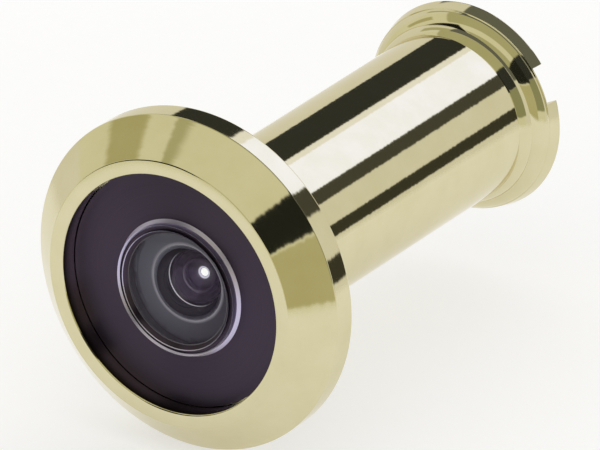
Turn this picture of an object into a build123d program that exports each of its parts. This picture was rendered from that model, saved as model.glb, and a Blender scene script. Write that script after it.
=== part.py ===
"""Door viewer: a bevelled brass front with three lenses, screwed into a slotted barrel with the eye lens.

The viewer's axis is Y, with the street side at -Y, the room side at +Y and +Z up. The origin is on the axis,
in the plane where the front flange meets the door. Sizes are millimetres, and the barrel is screwed home.
"""

from math import cos, radians, sin
import os

from build123d import *

# Front flange, from the door's outer face to the street
flange_radius = 14.0
rim_thickness = 2.1  # straight part of the edge
bevel_depth = 2.7  # height of the cone in front of the rim
bevel_width = 2.8  # how far the cone draws in
lip_width = 1.2  # flat ring at the very front
recess_depth = 2.1
rim_chamfer = 0.25
root_groove_width = 0.4  # lets the flange's back lie flat on the door
root_groove_depth = 0.2

# Barrel, seen between the two flanges
barrel_radius = 7.1  # passes a 14.3 hole
sleeve_wall = 1.05
sleeve_length = 32.9  # straight part
mouth_chamfer = 0.4

# Screw joint between the two halves
thread_clearance = 0.05
end_gap = 1.0  # left ahead of the tube when the barrel is home
relief_depth = 0.5  # groove where the thread runs out
relief_length = 1.2
tube_wall = 0.6  # under the relief
tube_chamfer = 0.4

# Lens seats in the front half
collar_wall = 1.6
collar_length = 1.4  # seen behind the flange when the halves are apart
collar_chamfer = 0.3
seat_wall = 0.4  # behind the front lens
lens_bore_depth = 1.7  # from the recess floor to the lens seat
inner_lip_width = 0.5  # stops the rear lenses
lens_clearance = 0.05

# Black disc in the recess
disc_thickness = 0.5
disc_clearance = 0.05

# Bright ring around the front lens, with a foot that holds the disc and a lip in front of the glass
ring_rise = 0.7  # stands this far in front of the disc
ring_wall = 0.5
ring_end_gap = 0.1  # left ahead of the lens seat
ring_foot_width = 0.3
ring_foot_height = 0.18
ring_lip_width = 0.3
ring_bevel_width = 0.2  # at the outer edge
ring_bevel_depth = 0.15
ring_groove_width = 0.25  # between the bevel and the lip
ring_groove_depth = 0.1

# Front lens, a strongly hollowed meniscus
front_edge_thickness = 2.55
front_centre_thickness = 1.05
front_dome_height = 0.4
front_hollow_radius = 3.0

# Second lens, hollow on both sides
second_edge_thickness = 3.4
second_front_hollow = 0.9
second_front_land = 0.95
second_back_hollow = 1.6
stack_land = 0.5  # flat rim behind the two rear lenses

# Spacer between the second and third lenses
spacer_length = 1.5
spacer_wall = 0.5

# Third lens, hollow at the back
third_edge_thickness = 2.2
third_hollow = 0.8

# Slotted ring that holds the rear lenses
stack_ring_thickness = 1.5
stack_ring_width = 0.65
spanner_slot_width = 0.8
spanner_slot_depth = 0.6

# Rear flange, with a slot for a coin
neck_length = 1.05  # up to the crease between the two mouldings
neck_flare = 0.5
cone_length = 1.2
cone_flare = 0.9
rear_rim_length = 1.05
rear_rim_flare = 0.35
coin_slot_width = 3.15
coin_slot_depth = 0.95
coin_slot_angle = 27.0  # about Y, from +X towards +Z
rear_chamfer = 0.12
cut_margin = 0.5  # slots and the lenses' blanks reach this far past the finished shape

# Eye end
eye_wall = 1.2
eye_bore_depth = 6.7  # from the rear face to the stop wall
stop_wall = 1.4
stop_wall_lip = 0.7  # how far the stop wall stands in from the eye bore
flare_depth = 2.0
flare_width = 1.5
field_stop_thickness = 0.8
field_stop_width = 0.65
eye_edge_thickness = 1.4
eye_dome_height = 1.6
eye_edge_flat = 0.7
eye_ring_thickness = 1.6
eye_ring_relief = 0.05

# Radii that follow
sleeve_bore = barrel_radius - sleeve_wall
thread_radius = sleeve_bore - thread_clearance
relief_radius = thread_radius - relief_depth
stack_bore = relief_radius - tube_wall
inner_lip_radius = stack_bore - inner_lip_width
stack_radius = stack_bore - lens_clearance
lens_bore = barrel_radius - collar_wall
ring_radius = lens_bore - lens_clearance
ring_bore = ring_radius - ring_wall
front_lens_radius = ring_bore - lens_clearance
ring_lip_radius = ring_bore - ring_lip_width
front_dome_radius = ring_lip_radius - lens_clearance
lip_outer_radius = flange_radius - bevel_width
recess_radius = lip_outer_radius - lip_width
neck_radius = barrel_radius + neck_flare
cone_radius = neck_radius + cone_flare
rear_radius = cone_radius + rear_rim_flare
eye_bore = barrel_radius - eye_wall
eye_radius = eye_bore - lens_clearance
eye_dome_radius = eye_radius - eye_edge_flat
second_front_radius = stack_radius - second_front_land
stack_rim_radius = stack_radius - stack_land

# Places along the axis that follow, from front to back
rim_front = -rim_thickness
lip_front = rim_front - bevel_depth
recess_floor = lip_front + recess_depth
disc_front = recess_floor - disc_thickness
ring_front = disc_front - ring_rise
lens_seat = recess_floor + lens_bore_depth
front_lens_edge = lens_seat - front_edge_thickness
front_lens_tip = front_lens_edge - front_dome_height
front_hollow_top = front_lens_tip + front_centre_thickness
collar_end = collar_length
second_lens_front = lens_seat + seat_wall
second_lens_back = second_lens_front + second_edge_thickness
third_lens_front = second_lens_back + spacer_length
third_lens_back = third_lens_front + third_edge_thickness
stack_ring_back = third_lens_back + stack_ring_thickness
neck_start = collar_end + sleeve_length
cone_start = neck_start + neck_length
rear_rim_start = cone_start + cone_length
rear_face = rear_rim_start + rear_rim_length
stop_wall_back = rear_face - eye_bore_depth
sleeve_floor = stop_wall_back - stop_wall
tube_end = sleeve_floor - end_gap
eye_lens_front = stop_wall_back + field_stop_thickness
eye_lens_edge = eye_lens_front + eye_edge_thickness
eye_lens_tip = eye_lens_edge + eye_dome_height
eye_ring_back = eye_lens_edge + eye_ring_thickness


def cross_plane(y, angle=0.0):
    """The plane across the axis at y, facing the room, with its x turned about the axis."""
    turn = radians(angle)
    return Plane(origin=(0, y, 0), x_dir=(cos(turn), 0, sin(turn)), z_dir=(0, 1, 0))


def ball_radius(rim, height):
    """The radius of the ball whose cap has this rim radius and height."""
    return (rim**2 + height**2) / (2 * height)


# Front half: flange, bevel and recess, collar and threaded tube, all one turned piece
with BuildPart() as front_barrel:
    with BuildSketch(Plane.XY):
        with BuildLine():
            Polyline(
                (flange_radius, -rim_chamfer),
                (flange_radius, rim_front),
                (lip_outer_radius, lip_front),
                (recess_radius, lip_front),
                (recess_radius, recess_floor),
                (lens_bore, recess_floor),
                (lens_bore, lens_seat),
                (inner_lip_radius, lens_seat),
                (inner_lip_radius, second_lens_front),
                (stack_bore, second_lens_front),
                (stack_bore, tube_end),
                (thread_radius - tube_chamfer, tube_end),
                (thread_radius, tube_end - tube_chamfer),
                (thread_radius, collar_end + relief_length + relief_depth),
                (relief_radius, collar_end + relief_length),
                (relief_radius, collar_end),
                (barrel_radius - collar_chamfer, collar_end),
                (barrel_radius, collar_end - collar_chamfer),
                (barrel_radius, -root_groove_depth),
                (barrel_radius + root_groove_width, -root_groove_depth),
                (barrel_radius + root_groove_width, 0),
                (flange_radius - rim_chamfer, 0),
                close=True,
            )
        make_face()
    revolve(axis=Axis.Y)
front_barrel.part.label = "front_barrel"

# Black disc that fills the recess around the lens
with BuildPart() as face_disc:
    with BuildSketch(cross_plane(disc_front)):
        Circle(recess_radius - disc_clearance)
        Circle(lens_bore, mode=Mode.SUBTRACT)
    extrude(amount=disc_thickness)
face_disc.part.label = "face_disc"

# Front lens: a low dome towards the street, a deep round hollow behind, resting on the lens seat
with BuildPart() as front_lens:
    dome_ball = ball_radius(front_dome_radius, front_dome_height)
    hollow_ball = ball_radius(front_hollow_radius, lens_seat - front_hollow_top)
    with BuildSketch(cross_plane(front_lens_edge)):
        Circle(front_lens_radius)
    extrude(amount=-(front_dome_height + cut_margin))
    with Locations((0, front_lens_tip + dome_ball, 0)):
        Sphere(dome_ball, mode=Mode.INTERSECT)
    with BuildSketch(cross_plane(front_lens_edge)):
        Circle(front_lens_radius)
    extrude(amount=front_edge_thickness)
    with Locations((0, front_hollow_top + hollow_ball, 0)):
        Sphere(hollow_ball, mode=Mode.SUBTRACT)
front_lens.part.label = "front_lens"

# Bright ring: foot on the disc, sleeve in the lens bore, and a bevelled lip over the glass
with BuildPart() as front_lens_ring:
    with BuildSketch(Plane.XY):
        with BuildLine():
            groove_outside = ring_radius - ring_bevel_width
            groove_inside = groove_outside - ring_groove_width
            groove_floor = ring_front + ring_bevel_depth + ring_groove_depth
            foot_radius = ring_radius + ring_foot_width
            Polyline(
                (ring_radius, disc_front),
                (foot_radius, disc_front),
                (ring_radius, disc_front - ring_foot_height),
                (ring_radius, ring_front),
                (groove_outside, ring_front + ring_bevel_depth),
                (groove_outside, groove_floor),
                (groove_inside, groove_floor),
                (groove_inside, ring_front),
                (ring_lip_radius, front_lens_edge),
                (ring_bore, front_lens_edge),
                (ring_bore, lens_seat - ring_end_gap),
                (ring_radius, lens_seat - ring_end_gap),
                close=True,
            )
        make_face()
    revolve(axis=Axis.Y)
front_lens_ring.part.label = "front_lens_ring"

# Second lens, hollow on both sides, against the inner lip
with BuildPart() as second_lens:
    front_ball = ball_radius(second_front_radius, second_front_hollow)
    back_ball = ball_radius(stack_rim_radius, second_back_hollow)
    with BuildSketch(cross_plane(second_lens_front)):
        Circle(stack_radius)
    extrude(amount=second_edge_thickness)
    with Locations((0, second_lens_front + second_front_hollow - front_ball, 0)):
        Sphere(front_ball, mode=Mode.SUBTRACT)
    with Locations((0, second_lens_back - second_back_hollow + back_ball, 0)):
        Sphere(back_ball, mode=Mode.SUBTRACT)
second_lens.part.label = "second_lens"

# Blackened tube that keeps the second and third lenses apart
with BuildPart() as lens_spacer:
    with BuildSketch(cross_plane(second_lens_back)):
        Circle(stack_radius)
        Circle(stack_radius - spacer_wall, mode=Mode.SUBTRACT)
    extrude(amount=spacer_length)
lens_spacer.part.label = "lens_spacer"

# Third lens, flat in front and hollow behind
with BuildPart() as third_lens:
    third_ball = ball_radius(stack_rim_radius, third_hollow)
    with BuildSketch(cross_plane(third_lens_front)):
        Circle(stack_radius)
    extrude(amount=third_edge_thickness)
    with Locations((0, third_lens_back - third_hollow + third_ball, 0)):
        Sphere(third_ball, mode=Mode.SUBTRACT)
third_lens.part.label = "third_lens"

# Ring screwed in behind the third lens, with two slots for a spanner
with BuildPart() as stack_ring:
    with BuildSketch(cross_plane(third_lens_back)):
        Circle(stack_radius)
        Circle(stack_radius - stack_ring_width, mode=Mode.SUBTRACT)
    extrude(amount=stack_ring_thickness)
    with BuildSketch(cross_plane(stack_ring_back)):
        Rectangle(2 * (stack_radius + cut_margin), spanner_slot_width)
    extrude(amount=-spanner_slot_depth, mode=Mode.SUBTRACT)
stack_ring.part.label = "stack_ring"

# Rear half: threaded sleeve, flared flange with the coin slot, and the bore for the eye lens
with BuildPart() as rear_barrel:
    with BuildSketch(Plane.XY):
        with BuildLine():
            Polyline(
                (sleeve_bore + mouth_chamfer, collar_end),
                (barrel_radius - mouth_chamfer, collar_end),
                (barrel_radius, collar_end + mouth_chamfer),
                (barrel_radius, neck_start),
                (neck_radius, cone_start),
                (cone_radius, rear_rim_start),
                (rear_radius, rear_face - rear_chamfer),
                (rear_radius - rear_chamfer, rear_face),
                (eye_bore + flare_width, rear_face),
                (eye_bore, rear_face - flare_depth),
                (eye_bore, stop_wall_back),
                (eye_bore - stop_wall_lip, stop_wall_back),
                (eye_bore - stop_wall_lip, sleeve_floor),
                (sleeve_bore, sleeve_floor),
                (sleeve_bore, collar_end + mouth_chamfer),
                close=True,
            )
        make_face()
    revolve(axis=Axis.Y)
    with BuildSketch(cross_plane(rear_face, coin_slot_angle)):
        Rectangle(2 * (rear_radius + cut_margin), coin_slot_width)
    extrude(amount=-coin_slot_depth, mode=Mode.SUBTRACT)
rear_barrel.part.label = "rear_barrel"

# Black ring in front of the eye lens that cuts off stray light
with BuildPart() as field_stop:
    with BuildSketch(cross_plane(stop_wall_back)):
        Circle(eye_radius)
        Circle(eye_radius - field_stop_width, mode=Mode.SUBTRACT)
    extrude(amount=field_stop_thickness)
field_stop.part.label = "field_stop"

# Eye lens, flat towards the street and domed towards the eye
with BuildPart() as eye_lens:
    eye_ball = ball_radius(eye_dome_radius, eye_dome_height)
    with BuildSketch(cross_plane(eye_lens_edge)):
        Circle(eye_radius)
    extrude(amount=eye_dome_height + cut_margin)
    with Locations((0, eye_lens_tip - eye_ball, 0)):
        Sphere(eye_ball, mode=Mode.INTERSECT)
    with BuildSketch(cross_plane(eye_lens_front)):
        Circle(eye_radius)
    extrude(amount=eye_edge_thickness)
eye_lens.part.label = "eye_lens"

# Ring screwed in behind the eye lens, with two slots for a spanner
with BuildPart() as eye_ring:
    with BuildSketch(cross_plane(eye_lens_edge)):
        Circle(eye_radius)
        Circle(eye_dome_radius + eye_ring_relief, mode=Mode.SUBTRACT)
    extrude(amount=eye_ring_thickness)
    with BuildSketch(cross_plane(eye_ring_back, coin_slot_angle)):
        Rectangle(2 * (eye_radius + cut_margin), spanner_slot_width)
    extrude(amount=-spanner_slot_depth, mode=Mode.SUBTRACT)
eye_ring.part.label = "eye_ring"

pieces = [
    front_barrel,
    face_disc,
    front_lens,
    front_lens_ring,
    second_lens,
    lens_spacer,
    third_lens,
    stack_ring,
    rear_barrel,
    field_stop,
    eye_lens,
    eye_ring,
]

os.makedirs("parts", exist_ok=True)
for piece in pieces:
    export_step(piece.part, f"parts/{piece.part.label}.step")

print("length", round(rear_face - lip_front, 2), "flange", 2 * flange_radius, "rear flange", 2 * rear_radius)
print("thread from", round(collar_end + relief_length, 2), "to", round(tube_end, 2))
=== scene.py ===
import math

import bmesh
import bpy
from mathutils import Matrix, Vector


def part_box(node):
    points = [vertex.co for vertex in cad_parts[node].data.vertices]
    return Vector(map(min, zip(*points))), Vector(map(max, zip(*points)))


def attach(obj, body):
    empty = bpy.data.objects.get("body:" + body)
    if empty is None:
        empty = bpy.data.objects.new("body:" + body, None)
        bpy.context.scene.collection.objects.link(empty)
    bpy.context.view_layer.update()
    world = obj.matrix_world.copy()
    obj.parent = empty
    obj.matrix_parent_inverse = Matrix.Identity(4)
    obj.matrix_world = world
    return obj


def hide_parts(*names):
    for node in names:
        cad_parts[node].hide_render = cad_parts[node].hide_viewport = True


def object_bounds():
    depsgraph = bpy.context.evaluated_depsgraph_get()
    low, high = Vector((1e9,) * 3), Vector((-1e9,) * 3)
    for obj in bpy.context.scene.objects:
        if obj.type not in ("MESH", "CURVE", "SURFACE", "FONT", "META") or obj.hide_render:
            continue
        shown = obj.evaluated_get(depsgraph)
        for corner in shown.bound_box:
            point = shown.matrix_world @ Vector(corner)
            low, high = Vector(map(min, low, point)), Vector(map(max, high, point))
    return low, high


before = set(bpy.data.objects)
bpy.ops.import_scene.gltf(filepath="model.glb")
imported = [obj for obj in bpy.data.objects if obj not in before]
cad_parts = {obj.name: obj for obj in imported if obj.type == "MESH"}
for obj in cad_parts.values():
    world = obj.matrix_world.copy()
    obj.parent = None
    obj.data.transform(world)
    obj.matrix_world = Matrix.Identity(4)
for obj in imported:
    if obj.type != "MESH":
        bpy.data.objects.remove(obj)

cadLow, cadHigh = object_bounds()
mm = 0.001
turnSteps = 192  # faces around the larger turned pieces
fineSteps = 128  # faces around the lenses and rings
bowlSteps = 24  # faces from the middle of a lens's round face to its rim
edgeSteps, swellSteps = 4, 16  # faces across a rounded edge, and across a moulding's swell
leastSwell = 0.5  # mm, the least rounding that counts as a swell
sharpAngle = 32  # degrees, past which two faces meet in a sharp edge
mergeDistance = 0.0005  # mm, under which two points are one
touch = 0.01  # mm, within which a face lies on a level or a wall
leastReach = 1e-9  # metres, so that a face on the axis isn't divided by nothing
seam = 0.02  # mm, the gap that is bridged between the thread's skin and its tube
squarely, mostly, flatly = 0.9, 0.5, 0.999  # shares of a normal along a direction that it is said to face


# Sizes that several pieces share, in millimetres, with the axis along Y and the street side at -Y
def span(node):  # front, back and outer radius of a turned node
    low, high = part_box(node)
    return round(low.y / mm, 2), round(high.y / mm, 2), round(high.x / mm, 2)


lipFront, tubeEnd, flangeRadius = span("front_barrel")
collarEnd, rearFace, rearRadius = span("rear_barrel")
discFront, recessFloor, discRadius = span("face_disc")
ringFront, ringBack, footRadius = span("front_lens_ring")
lensTip, lensSeat, lensRadius = span("front_lens")
lensEdge = -3.55  # the flat in front of the lens's dome, under the ring's lip
lensBore = 5.5
barrelRadius = 7.1
coinSlotAngle = 27  # degrees round the axis, from +X towards +Z


# Colours and nodes
def linear(code):  # a six-figure sRGB hex code as linear red, green, blue and alpha
    shares = [int(code[i:i + 2], 16) / 255 for i in (0, 2, 4)]
    return [c / 12.92 if c <= 0.04045 else ((c + 0.055) / 1.055) ** 2.4 for c in shares] + [1.0]


def dimmed(code, level):
    return [c * level for c in linear(code)[:3]] + [1.0]


def addNode(tree, kind, settings={}, values={}, links={}, result=0):  # gives one output, or with None all
    node = tree.nodes.new(kind)
    for name, value in settings.items():
        setattr(node, name, value)
    for name, value in values.items():
        node.inputs[name].default_value = value
    for name, source in links.items():
        tree.links.new(source, node.inputs[name])
    return node.outputs[result] if node.outputs and result is not None else node.outputs


def newMaterial(name):
    material = bpy.data.materials.new(name)
    material.use_nodes = True
    material.node_tree.nodes.clear()
    return material, material.node_tree


def turningCoordinates(tree):  # place, distance from and place along the axis, in mm, and angle round it
    metres = addNode(tree, "ShaderNodeTexCoord", result="Object")
    place = addNode(tree, "ShaderNodeVectorMath", {"operation": "SCALE"}, {"Scale": 1 / mm}, {0: metres})
    split = addNode(tree, "ShaderNodeSeparateXYZ", links={0: place}, result=None)
    flat = addNode(tree, "ShaderNodeCombineXYZ", links={0: split["X"], 2: split["Z"]})
    reach = addNode(tree, "ShaderNodeVectorMath", {"operation": "LENGTH"}, links={0: flat}, result="Value")
    angle = addNode(tree, "ShaderNodeMath", {"operation": "ARCTAN2"}, links={0: split["Z"], 1: split["X"]})
    return {"place": place, "reach": reach, "along": split["Y"], "angle": angle}


def turningGrooves(tree, at, pitch, detail):  # noise that changes only across the tool's path
    path = addNode(tree, "ShaderNodeCombineXYZ", links={0: at["reach"], 1: at["along"]})
    return addNode(
        tree, "ShaderNodeTexNoise", {"noise_dimensions": "3D"},
        {"Scale": 1 / pitch, "Detail": detail, "Roughness": 0.6}, {"Vector": path}, "Fac",
    )


# Polished brass, turned and clear-lacquered: pale lemon gold with mirror-sharp reflections, whose edges the
# tool's fine rings break, under a thin bright coat
brassLook = {
    "colour": "DDD6B2",
    "deepColour": "D2CA9E",  # where the polish lies thinner
    "roughness": (0.035, 0.075),
    "ringPitch": 0.22,  # mm; real feed marks are about 0.05 and would not show
    "ringDepth": 0.0006,  # mm
    "detail": 2.0,
    "mottle": 2.5,  # mm, size of the faint cloudiness in the polish
    "edge": "F6F2E4",  # how it mirrors at a glancing angle
    "coat": (0.5, 0.03),  # the lacquer's weight and roughness
    "waveLength": (0.35, 2.4),  # mm along the axis and round it: the polishing wheel's waves
    "waveTilt": 0.006,  # most that a wave leans, as a slope: enough to fray the edges of the reflections
    "waveNoise": (0.3, 0.7),  # the noise's values between which a wave leans from one side to the other
}


def lacqueredBrass():
    look = brassLook
    material, tree = newMaterial("turned_lacquered_brass")
    at = turningCoordinates(tree)
    rings = turningGrooves(tree, at, look["ringPitch"], look["detail"])
    clouds = addNode(
        tree, "ShaderNodeTexNoise", {}, {"Scale": 1 / look["mottle"], "Detail": 3.0},
        {"Vector": at["place"]}, "Fac",
    )
    colour = addNode(
        tree, "ShaderNodeMix", {"data_type": "RGBA"},
        {6: linear(look["colour"]), 7: linear(look["deepColour"])}, {0: clouds}, 2,
    )
    low, high = look["roughness"]
    roughness = addNode(tree, "ShaderNodeMapRange", {}, {"To Min": low, "To Max": high}, {"Value": rings})
    alongPitch, roundPitch = look["waveLength"]
    drawnOut = addNode(
        tree, "ShaderNodeVectorMath", {"operation": "MULTIPLY"},
        {1: (1 / roundPitch, 1 / alongPitch, 1 / roundPitch)}, {0: at["place"]},
    )
    waves = addNode(
        tree, "ShaderNodeTexNoise", {}, {"Scale": 1.0, "Detail": 2.0}, {"Vector": drawnOut}, "Fac",
    )
    low, high = look["waveNoise"]
    lean = addNode(
        tree, "ShaderNodeMapRange", {},
        {"From Min": low, "From Max": high, "To Min": -look["waveTilt"], "To Max": look["waveTilt"]},
        {"Value": waves},
    )
    around = addNode(tree, "ShaderNodeTangent", {"direction_type": "RADIAL", "axis": "Y"})
    sideways = addNode(tree, "ShaderNodeVectorMath", {"operation": "SCALE"}, {}, {0: around, "Scale": lean})
    straight = addNode(tree, "ShaderNodeNewGeometry", result="Normal")
    leaning = addNode(tree, "ShaderNodeVectorMath", {"operation": "ADD"}, {}, {0: straight, 1: sideways})
    waved = addNode(tree, "ShaderNodeVectorMath", {"operation": "NORMALIZE"}, {}, {0: leaning})
    bump = addNode(
        tree, "ShaderNodeBump", {}, {"Strength": 1.0, "Distance": look["ringDepth"] * mm},
        {"Height": rings, "Normal": waved},
    )
    coatWeight, coatRoughness = look["coat"]
    surface = addNode(
        tree, "ShaderNodeBsdfPrincipled", {},
        {
            "Metallic": 1.0, "Specular Tint": linear(look["edge"]), "Coat Weight": coatWeight,
            "Coat Roughness": coatRoughness,
        },
        {"Base Color": colour, "Roughness": roughness, "Normal": bump},
    )
    addNode(tree, "ShaderNodeOutputMaterial", links={"Surface": surface})
    return material


# Black anodised aluminium, faced on a lathe: purple-black satin, its fine rings spreading light in a bow tie
discLook = {
    "colour": "4A404E",
    "deepColour": "3A323F",
    "metallic": 0.95,
    "roughness": (0.28, 0.36),
    "ringPitch": 0.16,
    "ringDepth": 0.0012,
    "detail": 4.0,
    "anisotropy": (0.88, 0.25),  # strength, and the turns that lay its stretch across the rings
}
# Bright turned metal, a cool silver: a thin lilac line around the lens, and the plated end of the tube's bore
silverLook = {
    "colour": "D4CEEA",
    "deepColour": "C1BAD7",
    "metallic": 1.0,
    "roughness": (0.3, 0.4),
    "ringPitch": 0.12,
    "ringDepth": 0.0006,
    "detail": 2.0,
}
# Matt black lacquer inside the tube: charcoal, with the rings of the boring tool
mattLook = {
    "colour": "2F2830",
    "deepColour": "221C23",
    "metallic": 0.0,
    "roughness": (0.5, 0.7),
    "ringPitch": 0.25,
    "ringDepth": 0.004,
    "detail": 3.0,
}


def turnedFinish(name, look):
    material, tree = newMaterial(name)
    rings = turningGrooves(tree, turningCoordinates(tree), look["ringPitch"], look["detail"])
    colour = addNode(
        tree, "ShaderNodeMix", {"data_type": "RGBA"},
        {6: linear(look["deepColour"]), 7: linear(look["colour"])}, {0: rings}, 2,
    )
    low, high = look["roughness"]
    roughness = addNode(tree, "ShaderNodeMapRange", {}, {"To Min": low, "To Max": high}, {"Value": rings})
    bump = addNode(
        tree, "ShaderNodeBump", {}, {"Strength": 1.0, "Distance": look["ringDepth"] * mm}, {"Height": rings},
    )
    values = {"Metallic": look["metallic"]}
    links = {"Base Color": colour, "Roughness": roughness, "Normal": bump}
    if "anisotropy" in look:
        values["Anisotropic"], values["Anisotropic Rotation"] = look["anisotropy"]
        links["Tangent"] = addNode(tree, "ShaderNodeTangent", {"direction_type": "RADIAL", "axis": "Y"})
    surface = addNode(tree, "ShaderNodeBsdfPrincipled", {}, values, links)
    addNode(tree, "ShaderNodeOutputMaterial", links={"Surface": surface})
    return material


# The recess's wall, polished brass with a painted dark reflection of the black disc: painted dark under the
# lip and bright at its foot, so that the disc is edged with a black line that fades into it
wallLook = {
    "lipColour": "544A2E",
    "footColour": "E4DCDA",
    "fade": 0.75,  # share of the wall's depth over which the painted dark reflection fades
    "roughness": 0.12,
}


def paintedReflectionWall():
    look = wallLook
    material, tree = newMaterial("brass_wall_painted_reflection")
    # painted dark reflection: dark at the lip, fading to bright towards the disc
    depth = addNode(
        tree, "ShaderNodeMapRange", {"interpolation_type": "SMOOTHSTEP"},
        {"From Min": lipFront, "From Max": lipFront + look["fade"] * (discFront - lipFront)},
        {"Value": turningCoordinates(tree)["along"]},
    )
    colour = addNode(
        tree, "ShaderNodeMix", {"data_type": "RGBA"},
        {6: linear(look["lipColour"]), 7: linear(look["footColour"])}, {0: depth}, 2,
    )
    surface = addNode(
        tree, "ShaderNodeBsdfPrincipled", {}, {"Metallic": 1.0, "Roughness": look["roughness"]},
        {"Base Color": colour},
    )
    addNode(tree, "ShaderNodeOutputMaterial", links={"Surface": surface})
    return material


# Crown glass, ground, polished and coated: clear, throwing back only a faint violet, with a trace of dust
glassLook = {
    "colour": "FFFFFF",
    "ior": 1.517,
    "mirror": 0.03,
    "mirrorTint": "927CA4",
    "roughness": (0.0, 0.012),
    "dust": 0.8,  # mm, size of the dusty patches
    "dustFrom": 0.45,  # the noise's value from which there is dust
}


def opticalGlass():
    look = glassLook
    material, tree = newMaterial("polished_crown_glass")
    place = turningCoordinates(tree)["place"]
    dust = addNode(
        tree, "ShaderNodeTexNoise", {}, {"Scale": 1 / look["dust"], "Detail": 6.0}, {"Vector": place}, "Fac",
    )
    low, high = look["roughness"]
    roughness = addNode(
        tree, "ShaderNodeMapRange", {}, {"From Min": look["dustFrom"], "To Min": low, "To Max": high},
        {"Value": dust},
    )
    surface = addNode(
        tree, "ShaderNodeBsdfPrincipled", {},
        {
            "Base Color": linear(look["colour"]), "IOR": look["ior"], "Transmission Weight": 1.0,
            "Specular IOR Level": look["mirror"], "Specular Tint": linear(look["mirrorTint"]),
        },
        {"Roughness": roughness},
    )
    addNode(tree, "ShaderNodeOutputMaterial", links={"Surface": surface})
    return material


# The glass's ground edges, left rough and inked black against stray light
inkLook = {"colour": "1F191E", "deepColour": "161215", "grain": 0.12, "roughness": 0.6, "glow": 0.0}
# The front lens's edge, thinly inked in front and black behind: the grey between the two circles
thinInkLook = {
    "colour": "6A6669",
    "deepColour": "5B585B",
    "grain": 0.12,
    "roughness": 0.6,
    "glow": 0.0,
    "inkFrom": (-2.45, -2.25),  # mm along the axis, from the first ink to full black
}
# The second lens's front flat and the rim of its hollow, ground and left bare, with a painted glow: the thin
# bright circle inside
bareLook = {
    "colour": "E6E2EA",
    "deepColour": "D0CBD4",
    "grain": 0.12,
    "roughness": 0.5,
    "glow": 0.5,  # painted glow: emission standing in for light carried along the ground glass
}


def groundGlass(name, look):
    material, tree = newMaterial(name)
    at = turningCoordinates(tree)
    grain = addNode(
        tree, "ShaderNodeTexNoise", {}, {"Scale": 1 / look["grain"], "Detail": 3.0},
        {"Vector": at["place"]}, "Fac",
    )
    colour = addNode(
        tree, "ShaderNodeMix", {"data_type": "RGBA"},
        {6: linear(look["deepColour"]), 7: linear(look["colour"])}, {0: grain}, 2,
    )
    if "inkFrom" in look:
        low, high = look["inkFrom"]
        inked = addNode(
            tree, "ShaderNodeMapRange", {}, {"From Min": low, "From Max": high}, {"Value": at["along"]},
        )
        colour = addNode(
            tree, "ShaderNodeMix", {"data_type": "RGBA"},
            {7: linear(inkLook["colour"])}, {0: inked, 6: colour}, 2,
        )
    # the emission is a painted glow, for the looks that set one
    surface = addNode(
        tree, "ShaderNodeBsdfPrincipled", {},
        {
            "Roughness": look["roughness"], "Emission Color": linear(look["colour"]),
            "Emission Strength": look["glow"],
        },
        {"Base Color": colour},
    )
    addNode(tree, "ShaderNodeOutputMaterial", links={"Surface": surface})
    return material


# The flat around the front lens's hollow, ground but thinly inked: slate grey, with painted shade on one side
# and a painted highlight at the hollow's rim, so that it shows as one soft ring through the dome
slateLook = {
    "colour": "757783",
    "shadeColour": "423E47",
    "rimHighlight": "BDB9C2",
    "rim": (3.0, 3.3),  # mm from the axis, from the full painted highlight to none
    "roughness": 0.55,
    "palest": 165,  # degrees round the axis, the side painted palest as if lit; the far side takes the painted shade colour
}


def slateGlass():
    look = slateLook
    material, tree = newMaterial("thinly_inked_glass_painted_shade_and_highlight")
    at = turningCoordinates(tree)
    palest = math.radians(look["palest"])
    away = addNode(tree, "ShaderNodeMath", {"operation": "SUBTRACT"}, {1: palest}, {0: at["angle"]})
    turned = addNode(tree, "ShaderNodeMath", {"operation": "COSINE"}, links={0: away})
    side = addNode(
        tree, "ShaderNodeMapRange", {}, {"From Min": -1.0, "From Max": 1.0, "To Min": 0.0, "To Max": 1.0},
        {"Value": turned},
    )
    # painted shade: the slate darkens round the axis away from the palest side
    grey = addNode(
        tree, "ShaderNodeMix", {"data_type": "RGBA"},
        {6: linear(look["shadeColour"]), 7: linear(look["colour"])}, {0: side}, 2,
    )
    # painted highlight: a pale ring at the hollow's rim
    low, high = look["rim"]
    rim = addNode(
        tree, "ShaderNodeMapRange", {"interpolation_type": "SMOOTHSTEP"},
        {"From Min": low, "From Max": high, "To Min": 1.0, "To Max": 0.0}, {"Value": at["reach"]},
    )
    colour = addNode(
        tree, "ShaderNodeMix", {"data_type": "RGBA"}, {7: linear(look["rimHighlight"])}, {0: rim, 6: grey}, 2,
    )
    surface = addNode(
        tree, "ShaderNodeBsdfPrincipled", {}, {"Roughness": look["roughness"]}, {"Base Color": colour},
    )
    addNode(tree, "ShaderNodeOutputMaterial", links={"Surface": surface})
    return material


brass, recessWall, glass, slateFlat = lacqueredBrass(), paintedReflectionWall(), opticalGlass(), slateGlass()
blackDisc = turnedFinish("black_anodised_aluminium", discLook)
black = turnedFinish("matt_black_lacquer", mattLook)
silver = turnedFinish("bright_turned_metal", silverLook)
inkedEdge = groundGlass("inked_ground_glass", inkLook)
thinInkedEdge = groundGlass("part_inked_ground_glass", thinInkLook)
bareEdge = groundGlass("bare_ground_glass_painted_glow", bareLook)
print("materials made")


# Turning: an outline of (radius, place along Y, rounding) is drawn beside the axis and spun about it
def drawOutline(bm, points, closed):
    verts = [bm.verts.new((point[0] * mm, point[1] * mm, 0)) for point in points]
    for first, second in zip(verts, verts[1:]):
        bm.edges.new((first, second))
    if closed:
        bm.edges.new((verts[-1], verts[0]))
    for vert, point in zip(verts, points):
        if len(point) > 2:
            rounding = point[2]
            bmesh.ops.bevel(
                bm, geom=[vert], offset=rounding * mm, offset_type="OFFSET",
                segments=edgeSteps if rounding < leastSwell else swellSteps, profile=0.5, affect="VERTICES",
                material=-1,
            )


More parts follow.
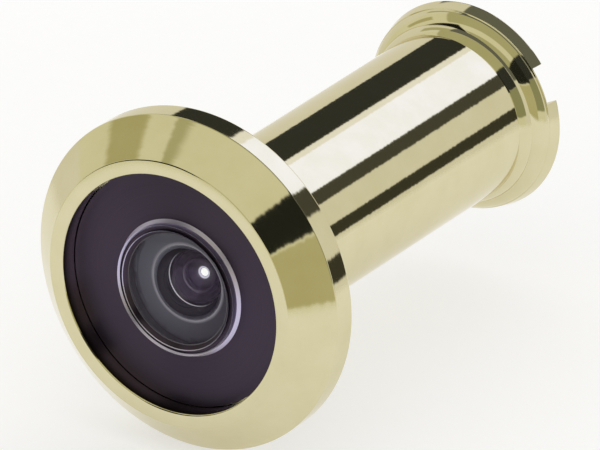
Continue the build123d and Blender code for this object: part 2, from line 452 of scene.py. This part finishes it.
def drawBowl(bm, middle, level, rim):  # half of a round face, from the axis to its rim, whose point it gives
    start = bm.verts.new((0, middle * mm, 0))
    rise = level - middle
    if not rise:
        return start
    ball = (rim ** 2 + rise ** 2) / (2 * rise)
    swept = bmesh.ops.spin(
        bm, geom=[start], cent=(0, (middle + ball) * mm, 0), axis=(0, 0, 1), dvec=(0, 0, 0),
        angle=math.asin(rim / ball), steps=bowlSteps, use_merge=False, use_normal_flip=False,
        use_duplicate=False,
    )
    return next(item for item in swept["geom_last"] if isinstance(item, bmesh.types.BMVert))


def turn(points, closed=True, steps=turnSteps):
    bm = bmesh.new()
    drawOutline(bm, points, closed)
    return spinRound(bm, steps)


def spinRound(bm, steps):
    bmesh.ops.spin(
        bm, geom=bm.verts[:] + bm.edges[:], cent=(0, 0, 0), axis=(0, 1, 0), dvec=(0, 0, 0), angle=2 * math.pi,
        steps=steps, use_merge=True, use_normal_flip=False, use_duplicate=False,
    )
    bmesh.ops.remove_doubles(bm, verts=bm.verts, dist=mergeDistance * mm)
    bmesh.ops.recalc_face_normals(bm, faces=bm.faces)
    return bm


def outlook(face):  # distance from and place along the axis, and how far the face looks outwards and back
    centre = face.calc_center_median()
    reach = math.hypot(centre.x, centre.z)
    outwards = (centre.x * face.normal.x + centre.z * face.normal.z) / max(reach, leastReach)
    return reach / mm, centre.y / mm, outwards, face.normal.y


def finishPiece(bm, node, made, body, materials, paint=None, slot=None):
    name = f"{node}_{made}"
    for face in bm.faces:
        face.smooth = True
        if paint:
            face.material_index = materials.index(paint(*outlook(face)))
    mesh = bpy.data.meshes.new(name)
    bm.to_mesh(mesh)
    bm.free()
    for material in materials:
        mesh.materials.append(material)
    piece = bpy.data.objects.new(name, mesh)
    bpy.context.scene.collection.objects.link(piece)
    if slot:
        cutSlot(piece, *slot)
    piece.data.set_sharp_from_angle(angle=math.radians(sharpAngle))
    piece.modifiers.new("flat faces shade flat", "WEIGHTED_NORMAL").keep_sharp = True
    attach(piece, body)
    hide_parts(node)
    print("made", name, len(piece.data.polygons), "faces")


slotOverreach = 1.1  # how far a slot's cutter reaches past its piece, as a share of the radius


def cutSlot(piece, back, width, depth, reach, degrees):  # a slot across the back of a turned piece
    bm = bmesh.new()
    bmesh.ops.create_cube(bm, size=1)
    bmesh.ops.scale(bm, vec=(2 * slotOverreach * reach * mm, 2 * depth * mm, width * mm), verts=bm.verts)
    turned = Matrix.Rotation(-math.radians(degrees), 3, "Y")
    bmesh.ops.rotate(bm, cent=(0, 0, 0), matrix=turned, verts=bm.verts)
    bmesh.ops.translate(bm, vec=(0, back * mm, 0), verts=bm.verts)
    mesh = bpy.data.meshes.new("slot")
    bm.to_mesh(mesh)
    bm.free()
    cutter = bpy.data.objects.new("slot", mesh)
    bpy.context.scene.collection.objects.link(cutter)
    cut = piece.modifiers.new("slot", "BOOLEAN")
    cut.operation, cut.solver, cut.object = "DIFFERENCE", "EXACT", cutter
    evaluated = piece.evaluated_get(bpy.context.evaluated_depsgraph_get())
    whole, piece.data = piece.data, bpy.data.meshes.new_from_object(evaluated)
    piece.modifiers.clear()
    bpy.data.meshes.remove(whole)
    bpy.data.objects.remove(cutter)


# Front barrel: flange, bevel, recess, collar and threaded tube, one turned piece
frontBarrel = {
    "rimDepth": 2.1,
    "bevelWidth": 2.8,
    "lipWidth": 1.2,
    "innerLip": (4.4, 0.4),  # radius and thickness
    "stackBore": 4.9,
    "rootGroove": (0.4, 0.2),  # width and depth
    "collarRounding": 0.3,
    "edge": 0.07,  # rounding of the polished edges
    "innerEdge": 0.16,  # rounding of the lip towards the recess
    "backEdge": 0.25,
    "reliefLength": 1.2,
    "threadCrest": 6.0,
    "threadRoot": 5.5,
    "threadPitch": 1.0,
    "threadFlat": 0.125,  # of the pitch, at the crest and at the root
    "leadTurns": 1.5,  # turned before the thread's start, and cut off again
    "spareTurns": 4,  # turned in all beyond the thread's length
    "plainBore": 20,  # from here the tube's bore is plated and left bright
}


def threadedTube(start, end):  # an open helical skin, drawn in to the root circle at both ends
    its = frontBarrel
    crest, root, pitch = its["threadCrest"], its["threadRoot"], its["threadPitch"]
    flat = its["threadFlat"] * pitch
    first = start - its["leadTurns"] * pitch
    points = []
    for number in range(math.ceil((end - start) / pitch) + its["spareTurns"]):
        base = first + number * pitch
        middle = base + pitch / 2
        points += [(root, base), (root, base + flat), (crest, middle - flat / 2), (crest, middle + flat / 2)]
    bm = bmesh.new()
    drawOutline(bm, points, False)
    bmesh.ops.spin(
        bm, geom=bm.verts[:] + bm.edges[:], cent=(0, 0, 0), axis=(0, 1, 0),
        dvec=(0, -pitch * mm / turnSteps, 0), angle=2 * math.pi, steps=turnSteps, use_merge=False,
        use_normal_flip=False, use_duplicate=False,
    )
    bmesh.ops.remove_doubles(bm, verts=bm.verts, dist=mergeDistance * mm)
    for cut, keepUp in ((start, False), (end, True)):
        bmesh.ops.bisect_plane(
            bm, geom=bm.verts[:] + bm.edges[:] + bm.faces[:], dist=mergeDistance * mm,
            plane_co=(0, cut * mm, 0), plane_no=(0, 1, 0), clear_inner=not keepUp, clear_outer=keepUp,
        )
    for vert in bm.verts:
        reach = math.hypot(vert.co.x, vert.co.z) / mm
        most = root + min(vert.co.y / mm - start, end - vert.co.y / mm)
        if reach > most:
            vert.co.x *= most / reach
            vert.co.z *= most / reach
    return bm


def makeFrontBarrel():
    its = frontBarrel
    lipOuter = flangeRadius - its["bevelWidth"]
    recess = lipOuter - its["lipWidth"]
    groove, grooveDepth = its["rootGroove"]
    innerLip, innerLipThickness = its["innerLip"]
    stackFront = lensSeat + innerLipThickness
    threadStart = collarEnd + its["reliefLength"]
    bm = threadedTube(threadStart, tubeEnd)
    skin = bpy.data.meshes.new("thread")
    bm.to_mesh(skin)
    bm.free()
    bm = turn(
        [
            (its["threadRoot"], threadStart - seam),
            (its["threadRoot"], collarEnd),
            (barrelRadius, collarEnd, its["collarRounding"]),
            (barrelRadius, -grooveDepth),
            (barrelRadius + groove, -grooveDepth),
            (barrelRadius + groove, 0),
            (flangeRadius, 0, its["backEdge"]),
            (flangeRadius, -its["rimDepth"], its["edge"]),
            (lipOuter, lipFront, its["edge"]),
            (recess, lipFront, its["innerEdge"]),
            (recess, recessFloor),
            (lensBore, recessFloor),
            (lensBore, lensSeat),
            (innerLip, lensSeat),
            (innerLip, stackFront),
            (its["stackBore"], stackFront),
            (its["stackBore"], its["plainBore"]),
            (its["stackBore"], tubeEnd),
            (its["threadRoot"], tubeEnd),
            (its["threadRoot"], tubeEnd - seam),
        ],
        closed=False,
    )
    bm.from_mesh(skin)
    bpy.data.meshes.remove(skin)
    for end in (threadStart, tubeEnd - seam):
        rims = [
            edge for edge in bm.edges
            if edge.is_boundary and all(abs(vert.co.y / mm - end) < 2 * seam for vert in edge.verts)
        ]
        bmesh.ops.bridge_loops(bm, edges=rims)
    bmesh.ops.recalc_face_normals(bm, faces=bm.faces)

    def paint(reach, along, outwards, backwards):
        # the recess's wall gets the painted dark reflection
        if outwards < -squarely and abs(reach - recess) < seam:
            return recessWall
        inside = reach < lensBore + touch and recessFloor < along < tubeEnd - seam
        bare = outwards > -mostly and (abs(backwards) < mostly or along > stackFront + seam)
        if bare or not inside:
            return brass
        return silver if along > its["plainBore"] else black

    materials = [brass, black, silver, recessWall]
    finishPiece(bm, "front_barrel", "turned", "front_half", materials, paint)


# Face disc: faced black disc around the lens, its edges barely rounded
faceDisc = {"edge": 0.05}


def makeFaceDisc():
    edge = faceDisc["edge"]
    bm = turn([
        (lensBore, recessFloor),
        (discRadius, recessFloor),
        (discRadius, discFront, edge),
        (lensBore, discFront, edge),
    ])
    finishPiece(bm, "face_disc", "turned", "front_half", [blackDisc])


# Front lens ring: a bright cell for the front lens, with a bevelled foot on the disc and a lip over the glass
frontLensRing = {
    "sleeve": 5.45,
    "bore": 4.95,
    "footHeight": 0.18,
    "bevel": (0.15, 0.15),  # width and depth, at the outer edge
    "groove": (0.3, 0.1),  # width, and depth under the bevel
    "land": 0.05,  # bright edge of the lip
    "lip": 4.65,
    "edge": 0.03,
    "crest": 0.01,  # rounding of the outer edge, kept crisp
}


def makeFrontLensRing():
    its = frontLensRing
    bevelWidth, bevelDepth = its["bevel"]
    grooveWidth, grooveDepth = its["groove"]
    grooveFloor = ringFront + bevelDepth + grooveDepth
    grooveOutside = its["sleeve"] - bevelWidth
    lipOutside = grooveOutside - grooveWidth
    bm = turn([
        (its["sleeve"], discFront),
        (footRadius, discFront, its["edge"]),
        (its["sleeve"], discFront - its["footHeight"]),
        (its["sleeve"], ringFront, its["crest"]),
        (grooveOutside, ringFront + bevelDepth),
        (grooveOutside, grooveFloor),
        (lipOutside, grooveFloor),
        (lipOutside, ringFront),
        (lipOutside - its["land"], ringFront + its["land"]),
        (its["lip"], lensEdge, its["edge"]),
        (its["bore"], lensEdge),
        (its["bore"], ringBack),
        (its["sleeve"], ringBack),
    ])

    def paint(reach, along, outwards, backwards):
        inBore = reach < its["bore"] + touch and along > lensEdge
        inGroove = lipOutside - touch < reach < grooveOutside + touch
        sunk = inGroove and (abs(outwards) > squarely or backwards < -squarely)
        onLip = reach < lipOutside - its["land"] and along < lensEdge
        return blackDisc if inBore or sunk or onLip else silver

    finishPiece(bm, "front_lens_ring", "turned", "front_half", [silver, blackDisc], paint)


# Lenses: round polished faces, with ground flats and edges
lensEdgeRounding = 0.04
lensEdgeSteps = 2  # faces across the rounding


def makeLens(node, body, front, back, radius, frontFace, backFace, ground=None, edgeFinish=inkedEdge):
    # a face is its middle's place and its rim's radius; ground is the inner radius, place, depth and finish
    # of a part that is ground but not fully inked
    faces = ((front, *frontFace), (back, *backFace))
    bm = bmesh.new()
    corners = []
    for level, middle, rim in faces:
        rimVert = drawBowl(bm, middle, level, rim)
        corners.append(bm.verts.new((radius * mm, level * mm, 0)))
        bm.edges.new((rimVert, corners[-1]))
    bm.edges.new(corners)
    bmesh.ops.bevel(
        bm, geom=corners, offset=lensEdgeRounding * mm, offset_type="OFFSET", segments=lensEdgeSteps,
        profile=0.5, affect="VERTICES", material=-1,
    )
    bm = spinRound(bm, fineSteps)

    def paint(reach, along, outwards, backwards):
        if reach > radius - lensEdgeRounding - touch:
            return edgeFinish
        if ground and reach > ground[0] and abs(along - ground[1]) < ground[2]:
            return ground[3]
        onFlat = any(
            middle != level and abs(along - level) < touch and reach > rim and abs(backwards) > flatly
            for level, middle, rim in faces
        )
        return edgeFinish if onFlat else glass

    materials = [glass, edgeFinish] + ([ground[3]] if ground else [])
    finishPiece(bm, node, "ground", body, materials, paint)


frontLens = {"middle": 1.05, "domeRim": 4.6, "hollowRim": 3.0}


def makeFrontLens():
    its = frontLens
    hollow = (lensTip + its["middle"], its["hollowRim"])
    makeLens(
        "front_lens", "front_half", lensEdge, lensSeat, lensRadius, (lensTip, its["domeRim"]), hollow,
        (its["hollowRim"], lensSeat, touch, slateFlat), thinInkedEdge,
    )


secondLens = {
    "frontHollow": (0.9, 3.9),  # depth and rim
    "backHollow": (1.6, 4.35),
    "bare": (3.45, 0.3),  # from this radius out, and down to this depth, its front is ground and bare, with a painted glow
}


def makeSecondLens():
    front, back, radius = span("second_lens")
    frontDepth, frontRim = secondLens["frontHollow"]
    backDepth, backRim = secondLens["backHollow"]
    bareFrom, bareDepth = secondLens["bare"]
    makeLens(
        "second_lens", "front_half", front, back, radius, (front + frontDepth, frontRim),
        (back - backDepth, backRim), (bareFrom, front, bareDepth, bareEdge),
    )


thirdLens = {"backHollow": (0.8, 4.35)}


def makeThirdLens():
    front, back, radius = span("third_lens")
    depth, rim = thirdLens["backHollow"]
    makeLens("third_lens", "front_half", front, back, radius, (front, radius), (back - depth, rim))


eyeLens = {"dome": 1.6, "domeRim": 5.15}


def makeEyeLens():
    its = eyeLens
    front, tip, radius = span("eye_lens")
    makeLens(
        "eye_lens", "eye_piece", front, tip - its["dome"], radius, (front, radius), (tip, its["domeRim"]),
    )


# Rings and tube that hold the lenses, blackened, two of them slotted for a spanner
holders = {
    "lens_spacer": {"body": "front_half", "wall": 0.5},
    "stack_ring": {"body": "front_half", "wall": 0.65, "slotAngle": 0},
    "field_stop": {"body": "rear_half", "wall": 0.65},
    "eye_ring": {"body": "rear_half", "wall": 0.65, "slotAngle": coinSlotAngle},
}
holderEdge = 0.05
spannerSlot = (0.8, 0.6)  # width and depth


def makeHolder(node):
    its = holders[node]
    front, back, radius = span(node)
    inside = radius - its["wall"]
    points = [
        (inside, front),
        (radius, front, holderEdge),
        (radius, back, holderEdge),
        (inside, back, holderEdge),
    ]
    bm = turn(points, steps=fineSteps)
    slot = (back, *spannerSlot, radius, its["slotAngle"]) if "slotAngle" in its else None
    finishPiece(bm, node, "turned", its["body"], [black], slot=slot)


# Rear barrel: smooth sleeve, flared flange with the coin slot, and the eye end
rearBarrel = {
    "sleeveBore": 6.05,
    "mouth": 0.4,
    "neckStart": 34.3,
    "neckSwell": (7.506, 34.751, 0.6),
    "neckEnd": (7.6, 35.35),
    "coneSwell": (8.28, 35.777, 0.78),
    "coneEnd": (8.47, 36.43),
    "bead": (8.56, 36.5, 0.02),  # the sharp turned edge between flare and rim
    "rimStart": (8.52, 36.58),
    "edge": 0.06,
    "outerEdge": 0.12,
    "eyeBore": 5.9,
    "flareDepth": 2.0,
    "flareWidth": 1.5,
    "stopWall": (5.2, 1.4),  # inner radius and thickness
    "eyeBoreDepth": 6.7,
    "coinSlot": (3.15, 0.95),  # width and depth
}


def makeRearBarrel():
    its = rearBarrel
    stopRadius, stopThickness = its["stopWall"]
    stopBack = rearFace - its["eyeBoreDepth"]
    sleeveFloor = stopBack - stopThickness
    flareFoot = rearFace - its["flareDepth"]
    bm = turn([
        (its["sleeveBore"], collarEnd, its["mouth"]),
        (barrelRadius, collarEnd, its["mouth"]),
        (barrelRadius, its["neckStart"]),
        its["neckSwell"],
        its["neckEnd"],
        its["coneSwell"],
        its["coneEnd"],
        its["bead"],
        its["rimStart"],
        (rearRadius, rearFace, its["outerEdge"]),
        (its["eyeBore"] + its["flareWidth"], rearFace, its["edge"]),
        (its["eyeBore"], flareFoot),
        (its["eyeBore"], stopBack),
        (stopRadius, stopBack),
        (stopRadius, sleeveFloor),
        (its["sleeveBore"], sleeveFloor),
    ])

    def paint(reach, along, outwards, backwards):
        return black if reach < its["sleeveBore"] and sleeveFloor - touch < along < flareFoot else brass

    slot = (rearFace, *its["coinSlot"], rearRadius, coinSlotAngle)
    finishPiece(bm, "rear_barrel", "turned", "rear_half", [brass, black], paint, slot)


makeFrontBarrel()
makeFaceDisc()
makeFrontLensRing()
makeFrontLens()
makeSecondLens()
makeHolder("lens_spacer")
makeThirdLens()
makeHolder("stack_ring")
makeRearBarrel()
makeHolder("field_stop")
makeEyeLens()
makeHolder("eye_ring")
print("pieces made")


# Studio: a pale room with dark cards, which give the brass its stripes. Directions are told by their angle
# round the viewer's axis, from +X towards +Z, and their angle from +Y, in degrees. Where cards overlap, the
# later one shows.
studioCards = [
    {"name": "camera's wall", "round": (-190, 190), "from": (86, 190), "colour": "EDEBD8", "level": 0.97},
    {"name": "warm bounce, above", "round": (50, 130), "from": (78, 118), "colour": "BEBC9A"},
    {"name": "warm bounce, above left", "round": (118, 150), "from": (68.5, 79), "colour": "BEBC9A"},
    {"name": "grey curtain, above", "round": (34, 121), "from": (53, 77.5), "colour": "6E706A"},
    {"name": "warm card behind camera", "round": (50, 118), "from": (135, 170), "colour": "BEBC9A"},
    {"name": "dark card, low left", "round": (120, 190), "from": (122, 156), "colour": "1A1A18"},
    {"name": "dark card, low left, lower end", "round": (-195, -168), "from": (122, 156), "colour": "1A1A18"},
    {"name": "shade, right", "round": (-3, 28), "from": (79, 118), "colour": "9B9C7D"},
    {"name": "soft box overhead", "round": (51.5, 101), "from": (22, 51), "colour": "D5DAFF", "level": 1.9},
    {"name": "soft box, dim end", "round": (99, 107.5), "from": (22, 51), "colour": "E2E2F0", "level": 1.4},
    {"name": "dark card, left", "round": (107.5, 153), "from": (26, 56), "colour": "383938"},
    {"name": "dark strip, upper", "round": (34, 51.5), "from": (26, 54), "colour": "4E4D47"},
    {"name": "dark strip, lower", "round": (-12.5, 3.4), "from": (30, 52), "colour": "413F36"},
    {"name": "camera's side", "round": (25, 53), "from": (112, 165), "colour": "262724"},
    {"name": "dark doorway", "round": (28, 53), "from": (79, 118), "colour": "373838"},
    {"name": "warm card, right", "round": (-17, 23), "from": (118, 165), "colour": "C6C19B"},
    {"name": "warm card, far left", "round": (143, 166), "from": (97, 108), "colour": "BFBA92"},
]
studioLook = {
    "softness": 1.2,  # degrees, at the cards' edges
    "paper": "F2F0EA",
    "level": 0.95,
    "fill": 0.9,  # what matt surfaces receive
}


def makeStudio():
    world = bpy.data.worlds.new("studio")
    bpy.context.scene.world = world
    world.use_nodes = True
    tree = world.node_tree
    tree.nodes.clear()
    direction = addNode(tree, "ShaderNodeTexCoord", result="Generated")
    split = addNode(tree, "ShaderNodeSeparateXYZ", links={0: direction}, result=None)
    turned = addNode(tree, "ShaderNodeMath", {"operation": "ARCTAN2"}, links={0: split["Z"], 1: split["X"]})
    polar = addNode(tree, "ShaderNodeMath", {"operation": "ARCCOSINE"}, links={0: split["Y"]})
    degrees = {
        way: addNode(tree, "ShaderNodeMath", {"operation": "DEGREES"}, links={0: radians})
        for way, radians in (("round", turned), ("from", polar))
    }
    paper = addNode(tree, "ShaderNodeRGB")
    paper.default_value = dimmed(studioLook["paper"], studioLook["level"])
    colour, softness = paper, studioLook["softness"]
    for card in studioCards:
        masks = []
        for way, source in degrees.items():
            low, high = card[way]
            middle, half = (low + high) / 2, (high - low) / 2
            away = addNode(tree, "ShaderNodeMath", {"operation": "SUBTRACT"}, {1: middle}, {0: source})
            off = addNode(tree, "ShaderNodeMath", {"operation": "ABSOLUTE"}, links={0: away})
            masks.append(addNode(
                tree, "ShaderNodeMapRange", {"interpolation_type": "SMOOTHSTEP"},
                {"From Min": half - softness, "From Max": half + softness, "To Min": 1.0, "To Max": 0.0},
                {"Value": off},
            ))
        both = addNode(tree, "ShaderNodeMath", {"operation": "MULTIPLY"}, links={0: masks[0], 1: masks[1]})
        shade = dimmed(card["colour"], card.get("level", 1.0))
        colour = addNode(tree, "ShaderNodeMix", {"data_type": "RGBA"}, {7: shade}, {0: both, 6: colour}, 2)
    ray = addNode(tree, "ShaderNodeLightPath", result=None)
    seen = addNode(tree, "ShaderNodeBackground", {}, {"Color": (1, 1, 1, 1), "Strength": 1.0})
    mirrored = addNode(tree, "ShaderNodeBackground", {}, {"Strength": 1.0}, {"Color": colour})
    fill = addNode(tree, "ShaderNodeBackground", {}, {"Color": (1, 1, 1, 1), "Strength": studioLook["fill"]})
    shiny = addNode(tree, "ShaderNodeMixShader", links={0: ray["Is Glossy Ray"], 1: fill, 2: mirrored})
    direct = addNode(
        tree, "ShaderNodeMath", {"operation": "MAXIMUM"},
        links={0: ray["Is Camera Ray"], 1: ray["Is Transmission Ray"]},
    )
    light = addNode(tree, "ShaderNodeMixShader", links={0: direct, 1: shiny, 2: seen})
    addNode(tree, "ShaderNodeOutputWorld", links={"Surface": light})


# Floor: white paper that keeps the viewer's soft shadow and fades into the white room
floorLook = {
    "radius": 95,
    "fadeFrom": 60,
    "sides": 64,
    "colour": "F4F3F0",
    "darker": 0.97,  # in the paper's grain
    "grain": 1.2,  # mm
    "share": 0.6,  # of its tone that the studio lights
    "glow": 0.5,  # what it adds for the camera, mirrors and glass, so that it shows white
}


def makeFloor():
    look = floorLook
    bm = bmesh.new()
    bmesh.ops.create_circle(bm, cap_ends=True, segments=look["sides"], radius=look["radius"] * mm)
    centre = Vector((0, (cadLow.y + cadHigh.y) / 2, cadLow.z))
    bmesh.ops.translate(bm, vec=centre, verts=bm.verts)
    mesh = bpy.data.meshes.new("floor")
    bm.to_mesh(mesh)
    bm.free()
    floor = bpy.data.objects.new("floor", mesh)
    bpy.context.scene.collection.objects.link(floor)
    material, tree = newMaterial("white_paper")
    place = turningCoordinates(tree)["place"]
    grain = addNode(
        tree, "ShaderNodeTexNoise", {}, {"Scale": 1 / look["grain"], "Detail": 4.0}, {"Vector": place}, "Fac",
    )
    tone = dimmed(look["colour"], look["share"])
    darker = dimmed(look["colour"], look["share"] * look["darker"])
    colour = addNode(tree, "ShaderNodeMix", {"data_type": "RGBA"}, {6: darker, 7: tone}, {0: grain}, 2)
    matt = addNode(tree, "ShaderNodeBsdfDiffuse", links={"Color": colour})
    ray = addNode(tree, "ShaderNodeLightPath", result=None)
    direct = ray["Is Camera Ray"]
    for other in ("Is Glossy Ray", "Is Transmission Ray"):
        direct = addNode(tree, "ShaderNodeMath", {"operation": "MAXIMUM"}, links={0: direct, 1: ray[other]})
    strength = addNode(tree, "ShaderNodeMath", {"operation": "MULTIPLY"}, {1: look["glow"]}, {0: direct})
    glow = addNode(tree, "ShaderNodeEmission", links={"Strength": strength})
    paper = addNode(tree, "ShaderNodeAddShader", links={0: matt, 1: glow})
    fromCentre = addNode(
        tree, "ShaderNodeVectorMath", {"operation": "DISTANCE"}, {1: centre / mm}, {0: place}, "Value",
    )
    fade = addNode(
        tree, "ShaderNodeMapRange", {"interpolation_type": "SMOOTHSTEP"},
        {"From Min": look["fadeFrom"], "From Max": look["radius"], "To Min": 0.0, "To Max": 1.0},
        {"Value": fromCentre},
    )
    clear = addNode(tree, "ShaderNodeBsdfTransparent")
    surface = addNode(tree, "ShaderNodeMixShader", links={0: fade, 1: paper, 2: clear})
    addNode(tree, "ShaderNodeOutputMaterial", links={"Surface": surface})
    mesh.materials.append(material)


# Camera: where the photograph was taken from
cameraSpot = {
    "azimuth": 33.93,  # degrees round from straight in front, towards +X
    "elevation": 25.53,
    "distance": 900,  # mm
    "aim": (6.142, 4.355, 4.036),  # mm
    "lens": 695.14,  # mm
    "sensor": 36,  # mm
    "clip": (0.01, 10),  # metres, nearest and farthest that it sees
}


def makeCamera():
    spot = cameraSpot
    azimuth, elevation = math.radians(spot["azimuth"]), math.radians(spot["elevation"])
    back = Vector((
        math.sin(azimuth) * math.cos(elevation),
        -math.cos(azimuth) * math.cos(elevation),
        math.sin(elevation),
    ))
    lens = bpy.data.cameras.new("camera")
    lens.lens, lens.sensor_width = spot["lens"], spot["sensor"]
    lens.clip_start, lens.clip_end = spot["clip"]
    camera = bpy.data.objects.new("camera", lens)
    bpy.context.scene.collection.objects.link(camera)
    camera.location = (Vector(spot["aim"]) + back * spot["distance"]) * mm
    camera.rotation_mode = "QUATERNION"
    camera.rotation_quaternion = (-back).to_track_quat("-Z", "Y")
    bpy.context.scene.camera = camera


makeStudio()
makeFloor()
makeCamera()
bpy.context.scene.view_settings.view_transform = "Standard"
print("studio made")
